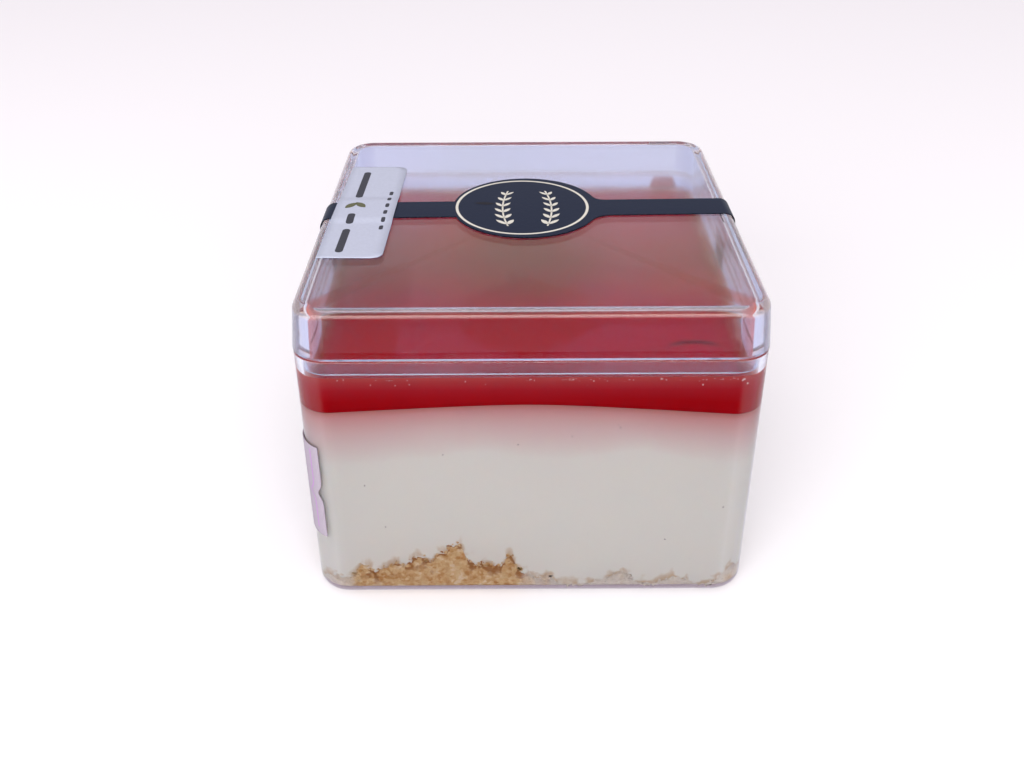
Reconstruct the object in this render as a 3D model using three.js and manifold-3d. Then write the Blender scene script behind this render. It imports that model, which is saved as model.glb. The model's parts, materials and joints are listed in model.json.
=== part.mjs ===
// Square dessert cup of clear plastic with its lift-off lid. It is filled with a biscuit crumb
// base, a thick layer of cream and a layer of red jelly, and it carries a paper seal over the
// lid and two paper labels. Millimetres, +Z up. The origin is the middle of the cup's
// underside, and the front is -Y.

import * as THREE from 'three';
import { mergeVertices } from 'three/addons/utils/BufferGeometryUtils.js';
import Module from 'manifold-3d';

// Lid
const HEIGHT = 64.2;
const LID_TOP_HALF = 41.75;
const LID_EDGE_RADIUS = 1.9;
const LID_INNER_RADIUS = 0.5;
const LID_INNER_DRAFT = 0.4;
const LID_RIM_HALF = 42.5;
const LID_RIM_Z = 54.7;
const LID_PLATE = 1.9;
const PLUG_HALF = 40.95;
const PLUG_WALL = 1.15;
const PLUG_Z = 51.2;
const RIM_BEVEL = 0.25;

// Cup
const CUP_HALF = 42.4;
const CUP_RIM_Z = 54.55;
const CUP_WALL = 1.3;
const CUP_FLOOR = 1.3;
const CUP_FOOT_RADIUS = 2.2;
const CUP_INNER_RADIUS = 1.2;

// Rounded square plan: the corner radius belongs to the half width it is given for
const CORNER_RADIUS = 6.5;
const CORNER_HALF = 42.4;
const CORNER_LEAST = 1.5;
const ARC_STEPS = 5;
const INNER_ARC_STEPS = 3;
const SHELL_STRAIGHT_STEPS = 1;
const CORNER_STEPS = 6;

// Contents
const FILL_GAP = 0.1;
const JELLY_TOP = 50.6;
const JELLY_MENISCUS = 0.35;
const JELLY_STRAIGHT_STEPS = 10;
const CREAM_RIDGE_Z = 45.1;
const CREAM_MIDDLE_RISE = 0.85;
const CREAM_SIDE_FALL = 2.95;
const CREAM_RIDGE_ROUND = 0.25;
const CREAM_TILT = 0.4;
const CRUMB_Z = 1.75;
const CRUMB_MIDDLE_RISE = 1.6;
const CRUMB_MIDDLE_SPREAD = 26;
const CRUMB_STRAIGHT_STEPS = 40;
const CRUMB_SEED = 11;

// Distances from the wall of the rings of points that shape each layer's top
const CRUMB_RINGS = [0, 1.4, 7, 20];
const CREAM_RINGS = [0, 6, 20];
const JELLY_RINGS = [0, 1, 3];

// Crumb heaps against the front wall, left to right: place, height and spread
const FRONT_HEAPS = [
  [-41, 3.4, 1.8],
  [-37.5, 1.6, 3],
  [-33, 3.6, 1.9],
  [-28, 1.6, 3],
  [-22, 1.6, 1.6],
  [-21, 5.8, 10],
  [-17, 2.6, 2.2],
  [-14.2, 6.2, 1.9],
  [-9, 3.8, 3.2],
  [-6, 2, 2.2],
  [-3.9, 6, 1.5],
  [-0.8, 2.6, 2.4],
  [3.3, 2.4, 1.5],
  [17, 2.2, 3.5],
  [18, 1.2, 0.9],
  [28.6, 2, 2.6],
  [40, 2.6, 2.4],
];
const OTHER_HEAPS_PER_WALL = 6;
const OTHER_HEAP_HEIGHT = [1.5, 5.5];
const OTHER_HEAP_SPREAD = [2.4, 6];

// Paper seal: a band across the lid with a round middle, folded down both sides
const PAPER = 0.2;
const PAPER_GAP = 0.1;
const SEAL_BAND_WIDTH = 7.6;
const SEAL_BAND_Y = 0.8;
const SEAL_BAND_SLOPE = 0.0175;
const SEAL_SEAM_DROP = 2;
const SEAL_END_Z = 47;
const SEAL_DISC_RADIUS = 14.9;
const SEAL_DISC_X = -0.5;
const SEAL_DISC_Y = 1.7;
const SEAL_FLARE_RADIUS = [5, 2.5];
const SEAL_DISC_STEPS = 48;
const SEAL_FLARE_STEPS = 6;

// Paper label on the lid: width and length, place and turn, and its drape over the seal's band.
// It is cut from a sheet with a spare margin
const TOP_LABEL_SIZE = [12.3, 45.2];
const TOP_LABEL_AT = [-33.2, 1.2];
const TOP_LABEL_TURN = -1.3;
const TOP_LABEL_CORNER = 2;
const TOP_LABEL_CORNER_STEPS = 4;
const TOP_LABEL_STEPS = 30;
const TOP_LABEL_SPARE = 1;
const DRAPE_RISE = PAPER + PAPER_GAP;
const DRAPE_EASE = [0.2, 3.2];

// Paper label on the left wall, wrapped round the front corner: heights and lengths along the wall
const SIDE_LABEL_Z = [14.6, 35.8];
const SIDE_LABEL_CORNER_REACH = 6.9;
const SIDE_LABEL_WALL_REACH = 33;
const SIDE_LABEL_PINCH = 1;
const SIDE_LABEL_PINCH_Z = 24.9;
const SIDE_LABEL_PINCH_SPREAD = 1.3;
const SIDE_LABEL_STEPS = [12, 18];
const SIDE_LABEL_CORNER_SHARE = 10 / 12;

const COLOURS = {
  clear: 0xdde0f2,
  crumb: 0xb9956b,
  cream: 0xe6ddd6,
  jelly: 0xa3121c,
  seal: 0x262f42,
  label: 0xe6e7f2,
};

const wasm = await Module();
wasm.setup();

function arcPoints(centreHalf, centreZ, radius, fromDegrees, toDegrees, steps = ARC_STEPS) {
  const points = [];
  for (let i = 0; i <= steps; i += 1) {
    const angle = THREE.MathUtils.degToRad(
      fromDegrees + ((toDegrees - fromDegrees) * i) / steps,
    );
    points.push([
      centreHalf + radius * Math.cos(angle),
      centreZ + radius * Math.sin(angle),
    ]);
  }
  return points;
}

function cornerRadius(half) {
  const squareHalf = CORNER_HALF - CORNER_RADIUS + CORNER_LEAST;
  if (half < squareHalf) {
    return (CORNER_LEAST * half) / squareHalf;
  }
  return CORNER_RADIUS + half - CORNER_HALF;
}

// Point of a rounded square at one step of its outline, from the front side anticlockwise
function squarePoint(half, step, straightSteps, cornerSteps) {
  const perSide = straightSteps + cornerSteps;
  const side = Math.floor(step / perSide);
  const along = step % perSide;
  const radius = cornerRadius(half);
  const flat = half - radius;
  const point = new THREE.Vector2(-flat + (2 * flat * along) / straightSteps, -half);
  if (along > straightSteps) {
    const angle = (Math.PI / 2) * ((along - straightSteps) / cornerSteps - 1);
    point.set(flat + radius * Math.cos(angle), -flat + radius * Math.sin(angle));
  }
  return point.rotateAround(new THREE.Vector2(), (side * Math.PI) / 2);
}

// Sweep of a profile of [half width, height] points round a rounded square
function squareSweep(profile, straightSteps, heightAt = (x, y, z) => z) {
  const steps = 4 * (straightSteps + CORNER_STEPS);
  const outline = profile.map(([half, z]) => new THREE.Vector2(half, z));
  const geometry = new THREE.LatheGeometry(outline, steps);
  const position = geometry.getAttribute('position');
  for (let v = 0; v < position.count; v += 1) {
    const row = v % profile.length;
    const step = Math.floor(v / profile.length) % steps;
    const [half, z] = profile[row];
    const point = squarePoint(half, step, straightSteps, CORNER_STEPS);
    position.setXYZ(v, point.x, point.y, heightAt(point.x, point.y, z, row));
  }
  return geometry;
}

function toManifold(geometry) {
  const bare = geometry.clone();
  bare.deleteAttribute('normal');
  bare.deleteAttribute('uv');
  const merged = mergeVertices(bare, 1e-4);
  return new wasm.Manifold(
    new wasm.Mesh({
      numProp: 3,
      vertProperties: new Float32Array(merged.getAttribute('position').array),
      triVerts: new Uint32Array(merged.getIndex().array),
    }),
  );
}

function fromManifold(solid) {
  const mesh = solid.getMesh();
  const geometry = new THREE.BufferGeometry();
  geometry.setAttribute('position', new THREE.BufferAttribute(mesh.vertProperties, 3));
  geometry.setIndex(new THREE.BufferAttribute(mesh.triVerts, 1));
  return geometry;
}

function namedMesh(name, geometry, colour, roughness, opacity = 1) {
  const material = new THREE.MeshStandardMaterial({
    color: colour,
    roughness,
    metalness: 0,
    opacity,
    transparent: opacity < 1,
  });
  const mesh = new THREE.Mesh(geometry, material);
  mesh.name = name;
  return mesh;
}

function makeCup() {
  const inner = CUP_HALF - CUP_WALL;
  const profile = [
    [0, 0],
    ...arcPoints(CUP_HALF - CUP_FOOT_RADIUS, CUP_FOOT_RADIUS, CUP_FOOT_RADIUS, -90, 0),
    [CUP_HALF, CUP_RIM_Z - RIM_BEVEL],
    [CUP_HALF - RIM_BEVEL, CUP_RIM_Z],
    [inner + RIM_BEVEL, CUP_RIM_Z],
    [inner, CUP_RIM_Z - RIM_BEVEL],
    ...arcPoints(
      inner - CUP_INNER_RADIUS,
      CUP_FLOOR + CUP_INNER_RADIUS,
      CUP_INNER_RADIUS,
      0,
      -90,
      INNER_ARC_STEPS,
    ),
    [0, CUP_FLOOR],
  ];
  return squareSweep(profile, SHELL_STRAIGHT_STEPS);
}

function makeLid() {
  const underside = HEIGHT - LID_PLATE;
  const plugInner = PLUG_HALF - PLUG_WALL;
  const innerTop = plugInner - LID_INNER_DRAFT;
  const profile = [
    [0, underside],
    ...arcPoints(
      innerTop - LID_INNER_RADIUS,
      underside - LID_INNER_RADIUS,
      LID_INNER_RADIUS,
      90,
      0,
      INNER_ARC_STEPS,
    ),
    [plugInner, PLUG_Z + RIM_BEVEL],
    [plugInner + RIM_BEVEL, PLUG_Z],
    [PLUG_HALF - RIM_BEVEL, PLUG_Z],
    [PLUG_HALF, PLUG_Z + RIM_BEVEL],
    [PLUG_HALF, LID_RIM_Z],
    [LID_RIM_HALF - RIM_BEVEL, LID_RIM_Z],
    [LID_RIM_HALF, LID_RIM_Z + RIM_BEVEL],
    ...arcPoints(
      LID_TOP_HALF - LID_EDGE_RADIUS,
      HEIGHT - LID_EDGE_RADIUS,
      LID_EDGE_RADIUS,
      0,
      90,
    ),
    [0, HEIGHT],
  ];
  return squareSweep(profile, SHELL_STRAIGHT_STEPS);
}

// Repeatable random numbers from 0 to 1
function seededRandom(seed) {
  let state = seed;
  return () => {
    state = (state * 16807) % 2147483647;
    return state / 2147483647;
  };
}

function crumbHeaps() {
  const random = seededRandom(CRUMB_SEED);
  const wall = CUP_HALF - CUP_WALL;
  const between = ([low, high]) => low + (high - low) * random();
  const heaps = FRONT_HEAPS.map(([x, height, spread]) => ({ x, y: -wall, height, spread }));
  for (let side = 1; side < 4; side += 1) {
    for (let i = 0; i < OTHER_HEAPS_PER_WALL; i += 1) {
      const along = wall * ((2 * (i + random())) / OTHER_HEAPS_PER_WALL - 1);
      const at = new THREE.Vector2(along, -wall).rotateAround(
        new THREE.Vector2(),
        (side * Math.PI) / 2,
      );
      heaps.push({
        x: at.x,
        y: at.y,
        height: between(OTHER_HEAP_HEIGHT),
        spread: between(OTHER_HEAP_SPREAD),
      });
    }
  }
  heaps.push({ x: 0, y: 0, height: CRUMB_MIDDLE_RISE, spread: CRUMB_MIDDLE_SPREAD });
  return heaps;
}

const HEAPS = crumbHeaps();

function crumbTop(x, y) {
  return HEAPS.reduce(
    (z, heap) => z
      + heap.height * Math.exp(-((x - heap.x) ** 2 + (y - heap.y) ** 2) / heap.spread ** 2),
    CRUMB_Z,
  );
}

// A rounded ridge from front to back, higher in the middle, that falls to both sides
function creamTop(x, y) {
  const u = x / CUP_HALF;
  const v = y / CUP_HALF;
  const sideFall = CREAM_SIDE_FALL * (Math.hypot(u, CREAM_RIDGE_ROUND) - CREAM_RIDGE_ROUND);
  return CREAM_RIDGE_Z + CREAM_MIDDLE_RISE * (1 - v * v) - sideFall - CREAM_TILT * u;
}

function jellyTop(x, y) {
  const wall = CUP_HALF - CUP_WALL;
  const away = wall - Math.max(Math.abs(x), Math.abs(y));
  return JELLY_TOP + JELLY_MENISCUS * Math.exp(-away);
}

// Splits a four-sided face along its other diagonal
function splitOtherWay(index, start) {
  const [a, b, d, c] = [0, 1, 2, 3].map((i) => index.getX(start + i));
  [a, b, c, a, c, d].forEach((vertex, i) => index.setX(start + i, vertex));
}

// Profile points of a ring at each distance from the wall, from the wall to the middle
function ringsInward(wall, distances) {
  return [...distances.map((distance) => [wall - distance, 0]), [0, 0]];
}

// A layer of the filling: flat or shaped underneath, up the wall, and shaped on top. Its
// underside is split into triangles as the top of the layer below is, so that the two follow
// each other
function makeLayer(bottomRings, topRings, bottomAt, topAt, straightSteps) {
  const profile = [...bottomRings, ...topRings];
  const shaped = (x, y, rise, row) => (
    row < bottomRings.length ? bottomAt(x, y) + rise : topAt(x, y)
  );
  const geometry = squareSweep(profile, straightSteps, shaped);
  const index = geometry.getIndex();
  const facesPerStep = profile.length - 1;
  for (let face = 0; face < index.count / 6; face += 1) {
    if (face % facesPerStep < bottomRings.length - 1) {
      splitOtherWay(index, 6 * face);
    }
  }
  return geometry;
}

function makeBiscuitBase() {
  const wall = CUP_HALF - CUP_WALL - FILL_GAP;
  const radius = CUP_INNER_RADIUS - FILL_GAP;
  const foot = arcPoints(wall - radius, radius, radius, -90, 0, INNER_ARC_STEPS);
  return makeLayer(
    [[0, 0], ...foot.slice(0, -1)],
    ringsInward(wall, CRUMB_RINGS),
    () => CUP_FLOOR + FILL_GAP,
    (x, y) => Math.max(crumbTop(x, y), CUP_FLOOR + FILL_GAP + radius),
    CRUMB_STRAIGHT_STEPS,
  );
}

function makeCream() {
  const wall = CUP_HALF - CUP_WALL - FILL_GAP;
  return makeLayer(
    ringsInward(wall, CRUMB_RINGS).reverse(),
    ringsInward(wall, CREAM_RINGS),
    (x, y) => Math.max(crumbTop(x, y), CUP_FLOOR + CUP_INNER_RADIUS) + FILL_GAP,
    creamTop,
    CRUMB_STRAIGHT_STEPS,
  );
}

function makeJelly() {
  const wall = CUP_HALF - CUP_WALL - FILL_GAP;
  return makeLayer(
    ringsInward(wall, CREAM_RINGS).reverse(),
    ringsInward(wall, JELLY_RINGS),
    (x, y) => creamTop(x, y) + FILL_GAP,
    jellyTop,
    JELLY_STRAIGHT_STEPS,
  );
}

// Half of the band: it runs out along the lid, over its edge and down past the seam
function bandHalf() {
  const surface = (lift) => [
    [0, HEIGHT + lift],
    ...arcPoints(
      LID_TOP_HALF - LID_EDGE_RADIUS,
      HEIGHT - LID_EDGE_RADIUS,
      LID_EDGE_RADIUS + lift,
      90,
      0,
    ),
    [LID_RIM_HALF + lift, LID_RIM_Z],
    [CUP_HALF + lift, LID_RIM_Z - SEAL_SEAM_DROP],
    [CUP_HALF + lift, SEAL_END_Z],
  ];
  const outline = [...surface(PAPER_GAP), ...surface(PAPER_GAP + PAPER).reverse()];
  const shape = new THREE.Shape(outline.map(([x, z]) => new THREE.Vector2(x, z)));
  const geometry = new THREE.ExtrudeGeometry(shape, {
    depth: SEAL_BAND_WIDTH,
    bevelEnabled: false,
  });
  geometry.rotateX(Math.PI / 2);
  geometry.translate(0, SEAL_BAND_WIDTH / 2, 0);
  return geometry;
}

function slopeBand(geometry) {
  const position = geometry.getAttribute('position');
  for (let v = 0; v < position.count; v += 1) {
    position.setY(v, position.getY(v) + SEAL_BAND_Y + SEAL_BAND_SLOPE * position.getX(v));
  }
  return geometry;
}

// Neck between the seal's disc and its right arm, with a hollow curve on each side
function sealNeck() {
  const armY = SEAL_BAND_Y - SEAL_DISC_Y + SEAL_BAND_SLOPE * SEAL_DISC_RADIUS;
  const neck = new THREE.Shape();
  neck.moveTo(0, 0);
  SEAL_FLARE_RADIUS.forEach((radius, side) => {
    const sign = side === 0 ? -1 : 1;
    const edgeY = armY + (sign * SEAL_BAND_WIDTH) / 2;
    const centreY = edgeY + sign * radius;
    const centreX = Math.sqrt((SEAL_DISC_RADIUS + radius) ** 2 - centreY ** 2);
    const towardDisc = Math.atan2(-centreY, -centreX);
    const towardArm = (-sign * Math.PI) / 2;
    if (side === 0) {
      neck.absarc(centreX, centreY, radius, towardDisc, towardArm, true);
    } else {
      neck.absarc(centreX, centreY, radius, towardArm, towardDisc, true);
    }
  });
  const geometry = new THREE.ExtrudeGeometry(neck, {
    depth: PAPER,
    bevelEnabled: false,
    curveSegments: SEAL_FLARE_STEPS,
  });
  geometry.translate(SEAL_DISC_X, SEAL_DISC_Y, HEIGHT + PAPER_GAP);
  return geometry;
}

function makeSeal() {
  const disc = new THREE.CylinderGeometry(
    SEAL_DISC_RADIUS,
    SEAL_DISC_RADIUS,
    PAPER,
    SEAL_DISC_STEPS,
  );
  disc.rotateX(Math.PI / 2);
  disc.translate(SEAL_DISC_X, SEAL_DISC_Y, HEIGHT + PAPER_GAP + PAPER / 2);
  const right = slopeBand(bandHalf());
  const left = slopeBand(bandHalf().rotateZ(Math.PI));
  return fromManifold(
    toManifold(right).add(toManifold(left)).add(toManifold(disc)).add(toManifold(sealNeck())),
  );
}

// The label lies on the lid and climbs over the seal's band, which passes under it
function makeTopLabel() {
  const [width, length] = TOP_LABEL_SIZE;
  const sheet = new THREE.BoxGeometry(
    width + 2 * TOP_LABEL_SPARE,
    length + 2 * TOP_LABEL_SPARE,
    PAPER,
    2,
    TOP_LABEL_STEPS,
    1,
  );
  const outline = new THREE.Shape();
  const right = width / 2;
  const back = length / 2;
  outline.moveTo(-right, -back);
  outline.lineTo(right - TOP_LABEL_CORNER, -back);
  outline.quadraticCurveTo(right, -back, right, -back + TOP_LABEL_CORNER);
  outline.lineTo(right, back - TOP_LABEL_CORNER);
  outline.quadraticCurveTo(right, back, right - TOP_LABEL_CORNER, back);
  outline.lineTo(-right, back);
  const prism = new THREE.ExtrudeGeometry(outline, {
    depth: 2 * TOP_LABEL_SPARE,
    bevelEnabled: false,
    curveSegments: TOP_LABEL_CORNER_STEPS,
  });
  prism.translate(0, 0, -TOP_LABEL_SPARE);
  const turn = THREE.MathUtils.degToRad(TOP_LABEL_TURN);
  for (const piece of [sheet, prism]) {
    piece.rotateZ(turn);
    piece.translate(TOP_LABEL_AT[0], TOP_LABEL_AT[1], 0);
  }
  const position = sheet.getAttribute('position');
  for (let v = 0; v < position.count; v += 1) {
    const bandY = SEAL_BAND_Y + SEAL_BAND_SLOPE * position.getX(v);
    const away = Math.abs(position.getY(v) - bandY) - SEAL_BAND_WIDTH / 2;
    const rise = DRAPE_RISE * (1 - THREE.MathUtils.smoothstep(away, ...DRAPE_EASE));
    position.setZ(v, position.getZ(v) + rise);
  }
  const label = fromManifold(toManifold(sheet).intersect(toManifold(prism)));
  label.translate(0, 0, HEIGHT + PAPER_GAP + PAPER / 2);
  return label;
}

// Point on the cup's outside, by its distance along the wall from the front left corner:
// positive round the corner to the front, negative back along the left wall
function leftCornerPoint(along, lift) {
  const flat = CUP_HALF - CORNER_RADIUS;
  if (along <= 0) {
    return [-CUP_HALF - lift, -flat - along];
  }
  const angle = along / CORNER_RADIUS;
  const radius = CORNER_RADIUS + lift;
  return [-flat - radius * Math.cos(angle), -flat - radius * Math.sin(angle)];
}

function makeSideLabel() {
  const [lengthSteps, heightSteps] = SIDE_LABEL_STEPS;
  const geometry = new THREE.BoxGeometry(1, 1, 1, lengthSteps, heightSteps, 1);
  const position = geometry.getAttribute('position');
  const [low, high] = SIDE_LABEL_Z;
  for (let v = 0; v < position.count; v += 1) {
    const share = 0.5 - position.getX(v);
    const z = low + (high - low) * (position.getY(v) + 0.5);
    const lift = PAPER_GAP + PAPER * (position.getZ(v) + 0.5);
    const pinch = Math.exp(-(((z - SIDE_LABEL_PINCH_Z) / SIDE_LABEL_PINCH_SPREAD) ** 2));
    const reach = SIDE_LABEL_CORNER_REACH - SIDE_LABEL_PINCH * pinch;
    const past = share - SIDE_LABEL_CORNER_SHARE;
    const along = past < 0
      ? (-reach * past) / SIDE_LABEL_CORNER_SHARE
      : (-SIDE_LABEL_WALL_REACH * past) / (1 - SIDE_LABEL_CORNER_SHARE);
    const [x, y] = leftCornerPoint(along, lift);
    position.setXYZ(v, x, y, z);
  }
  return geometry;
}

const cake = new THREE.Group();
cake.add(
  namedMesh('cup', makeCup(), COLOURS.clear, 0.08, 0.35),
  namedMesh('lid', makeLid(), COLOURS.clear, 0.08, 0.35),
  namedMesh('biscuit_base', makeBiscuitBase(), COLOURS.crumb, 0.9),
  namedMesh('cream', makeCream(), COLOURS.cream, 0.6),
  namedMesh('jelly', makeJelly(), COLOURS.jelly, 0.15),
  namedMesh('seal_sticker', makeSeal(), COLOURS.seal, 0.45),
  namedMesh('top_label', makeTopLabel(), COLOURS.label, 0.5),
  namedMesh('side_label', makeSideLabel(), COLOURS.label, 0.5),
);

export default cake;
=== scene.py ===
"""Square clear cup with its lid: biscuit crumb, cream and red jelly, a paper seal and two labels."""

import json
import math
import random

import bmesh
import bpy
from mathutils import Matrix, Vector, noise

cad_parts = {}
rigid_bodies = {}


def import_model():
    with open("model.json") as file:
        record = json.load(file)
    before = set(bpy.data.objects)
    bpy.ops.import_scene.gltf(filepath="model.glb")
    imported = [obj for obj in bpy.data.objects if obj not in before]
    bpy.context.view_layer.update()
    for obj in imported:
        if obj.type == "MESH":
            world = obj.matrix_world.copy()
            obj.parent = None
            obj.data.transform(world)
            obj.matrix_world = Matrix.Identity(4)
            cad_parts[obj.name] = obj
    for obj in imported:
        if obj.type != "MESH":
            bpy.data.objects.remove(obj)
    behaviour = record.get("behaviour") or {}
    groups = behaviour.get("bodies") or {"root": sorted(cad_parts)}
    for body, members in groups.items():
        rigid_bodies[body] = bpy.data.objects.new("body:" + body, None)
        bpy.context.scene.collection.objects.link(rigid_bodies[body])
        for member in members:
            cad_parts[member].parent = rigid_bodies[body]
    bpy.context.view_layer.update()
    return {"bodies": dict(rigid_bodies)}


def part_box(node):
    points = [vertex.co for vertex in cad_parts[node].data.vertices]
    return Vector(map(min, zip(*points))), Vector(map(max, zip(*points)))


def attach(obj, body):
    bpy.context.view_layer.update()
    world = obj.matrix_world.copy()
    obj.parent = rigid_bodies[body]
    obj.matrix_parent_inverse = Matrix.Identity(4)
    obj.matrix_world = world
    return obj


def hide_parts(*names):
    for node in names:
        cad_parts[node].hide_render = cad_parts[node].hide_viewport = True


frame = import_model()

# Values at the top are in millimetres and degrees where nothing else is said
MM = 0.001
BODY = next(iter(frame["bodies"]))


def cad_size(node):
    """Lowest and highest corner of a CAD node in millimetres."""
    low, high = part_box(node)
    return Vector(low) / MM, Vector(high) / MM


# Cup, from its CAD box and walls
CUP_HALF, _, CUP_RIM_Z = cad_size("cup")[1]
WALL = 1.3
FLOOR = 1.3
CUP_INNER = CUP_HALF - WALL
FOOT_RADIUS = 2.2
INNER_FOOT_RADIUS = 1.2
RIM_BEVEL = 0.25

# Lid, from its CAD box and walls. It leaves the same small gap above the rim and beside the plug
LID_RIM_HALF = cad_size("lid")[1].x
PLUG_Z, HEIGHT = (corner.z for corner in cad_size("lid"))
LID_GAP = 0.15
LID_TAPER = 0.75
LID_TOP_HALF = LID_RIM_HALF - LID_TAPER
LID_RIM_Z = CUP_RIM_Z + LID_GAP
LID_PLATE = 1.9
LID_EDGE_RADIUS = 1.9
LID_INNER_RADIUS = 0.5
LID_INNER_DRAFT = 0.4
PLUG_HALF = CUP_INNER - LID_GAP
PLUG_WALL = 1.15
PLUG_INNER = PLUG_HALF - PLUG_WALL

# Rounded square plan
CORNER_RADIUS = 6.5
CORNER_LEAST = 1.5
CORNER_STEPS = 20
ARC_STEPS = 10

# Distances in from the wall at which the crumb and the cream have points, closest near it
WALL_INSETS = (0, 0.25, 0.6, 1.1, 2, 3.5, 6, 10, 16, 24, 32)

# Contents: each reaches just into the wall, and the crumb a little further than the cream. The
# dry crumb only lies on the floor
CREAM_SINK = 0.04
CRUMB_SINK = 0.06
CRUMB_FLOOR_GAP = 0.05
JELLY_SINK = 0.05
JELLY_TOP = 50.6
JELLY_MENISCUS = 0.35
JELLY_HAZE_AND_LIGHT_DEPTH = 5.2
JELLY_HAZE_AND_LIGHT_INWARD = 0.3
JELLY_EDGE_WIDTH = 5
JELLY_STEPS = 40
JELLY_SIDE_SLOPE = 0.3
JELLY_OVERLAP = 0.03
CREAM_OVERLAP = 0.02
CREAM_RIDGE_Z = 45.1
CREAM_MIDDLE_RISE = 0.85
CREAM_SIDE_FALL = 2.95
CREAM_RIDGE_ROUND = 0.25
CREAM_TILT = 0.4
CRUMB_Z = 1.75
CRUMB_MIDDLE_RISE = 1.6
CRUMB_MIDDLE_SPREAD = 26
CRUMB_SEED = 11
CRUMB_LEAST = 0.25
CRUMB_FULL_DEPTH = 3

# Heaps of crumb along the front wall as (x, height, spread)
FRONT_HEAPS = [
    (-41, 3.4, 1.8), (-37.5, 1.6, 3), (-33, 3.6, 1.9), (-28, 1.6, 3), (-22, 1.6, 1.6),
    (-21, 5.8, 10), (-17, 2.6, 2.2), (-14.2, 6.2, 1.9), (-9, 3.8, 3.2), (-6, 2, 2.2),
    (-3.9, 6, 1.5), (-0.8, 2.6, 2.4), (3.3, 2.4, 1.5), (17, 2.2, 3.5), (18, 1.2, 0.9),
    (28.6, 2, 2.6), (40, 2.6, 2.4),
]
OTHER_HEAPS_PER_WALL = 6
OTHER_HEAP_HEIGHT = (1.5, 5.5)
OTHER_HEAP_SPREAD = (2.4, 6)
CRUMB_STEPS = 270
CRUMB_ROUGH = 0.9
CRUMB_GRAIN = 1.1

# Depth at which smeared cream no longer veils the crumb, and the same in front, right of an x
VEIL_DEPTH = 4.5
THICK_VEIL_X = 8
THICK_VEIL_DEPTH = 7

# Paper seal
PAPER = 0.2
PAPER_GAP = 0.1
BAND_WIDTH = 7.6
BAND_Y = 0.8
BAND_SLOPE = 0.0175
SEAL_SEAM_DROP = 2
SEAL_END_Z = cad_size("seal_sticker")[0].z
DISC_RADIUS = 14.9
DISC_AT = Vector((-0.5, 1.7))
DISC_STEPS = 60
RING_AT = Vector((-1.2, 1.7))
RING_RADIUS = 13.37
RING_WIDTH = 0.55
RING_STEPS = 160
PRINT_LIFT = 0.02
PAPER_LIFT = PAPER_GAP + PAPER
PAPER_TOP_Z = HEIGHT + PAPER_LIFT

# Radii at which the right arm's lower and upper edge flare into the disc
FLARE_RADII = (5, 2.5)

# Two leafy sprigs printed on the seal: their middles, length and bow, and their leaves
SPRIG_X = (-4.1, 3.7)
SPRIG_Y = 0.8
SPRIG_LENGTH = 17.6
SPRIG_BOW = 1.1
SPRIG_STEM = 0.35
SPRIG_LEAVES = 6
SPRIG_LEAF = (0.95, 2.9)
SPRIG_LEAF_TURN = 38
SPRIG_TAPER = 0.3

# Labels
TOP_LABEL_SIZE = (12.3, 45.2)
TOP_LABEL_AT = Vector((-33.2, 1.2))
TOP_LABEL_TURN = -1.3
TOP_LABEL_CORNER = 2
TOP_LABEL_STEPS = 150
DRAPE_RISE = PAPER_LIFT
DRAPE_EASE = (0.2, 3.2)
SIDE_LABEL_Z = (14.6, 35.8)
SIDE_LABEL_REACH = 6.9
SIDE_LABEL_BACK = 33
SIDE_LABEL_PINCH = 1
SIDE_LABEL_PINCH_Z = 24.9
SIDE_LABEL_PINCH_SPREAD = 1.3

# Print on the lid label, from its middle: bars and dashes as (across, from, to), and two leaves
TITLE_BARS = [(-2.3, -20.6, -10.2), (-2.3, -7.8, -3.4), (-2.3, 5.2, 19.4)]
TITLE_WIDTH = 1.5
DASH_ACROSS = 4.3
DASH_FIRST = -10.4
DASH_STEP = 3.4
DASH_LENGTH = 1.9
DASH_COUNT = 6
DASH_WIDTH = 0.8
MARK_LEAVES = [((-3.2, 0.6), -35), ((-1.2, 0.9), 40)]
MARK_LEAF = (1.6, 3.4)

# Print on the wall label: a line beside its front edge, and bars as (z, from, to) on the left wall
LINE_FROM_EDGE = 1.85
LINE_WIDTH = 0.28
LINE_Z = (16.3, 34.85)
WALL_BARS = [(32.4, 4, 22), (30.2, 4, 27), (28, 4, 25), (21.4, 4, 16), (19.2, 4, 26), (17, 4, 20)]
WALL_BAR_WIDTH = 0.9

# Pressed crease in the seal's round middle, drawn as a flat dark sheet of painted shade: its middle,
# length, width and turn
CREASE_AT = (-8.9, 3.2)
CREASE_SIZE = (4.3, 1.3)
CREASE_TURN = 84

# Small things at the front wall: clusters of bubbles as (middle, reach, count) along it, and
# specks as (x, z, radius)
BUBBLE_CLUSTERS = [
    (-33.5, 1.2, 5), (-25.5, 1.5, 4), (-21.5, 1.5, 4), (-0.5, 1.6, 9), (6.8, 3, 26), (12, 1.2, 9),
    (17.4, 1.2, 6), (23.3, 1.4, 8), (32.3, 2.8, 18), (36, 0.8, 5),
]
BUBBLE_SEED = 8
BUBBLE_RADIUS = (0.09, 0.22)
BUBBLES_PER_WALL = 26
CREAM_SPECKS = [
    (-27.85, 16.9, 0.2), (16.1, 40, 0.19), (15.7, 40.6, 0.13), (7.4, 38.1, 0.15), (1, 39.4, 0.13),
    (-2.4, 36.3, 0.2), (-16.2, 34.1, 0.17), (-31.1, 27, 0.22), (25.9, 13.5, 0.2),
    (36.4, 21.4, 0.17), (10.9, 14.9, 0.15), (31.1, 8.4, 0.16), (30.3, 8.9, 0.12),
]
SPECK_SEED = 3
SPECKS_PER_WALL = 9
SPECK_Z = (12, 42)
SPECK_RADIUS = (0.12, 0.22)
SPECK_INSET = 0.05

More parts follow.
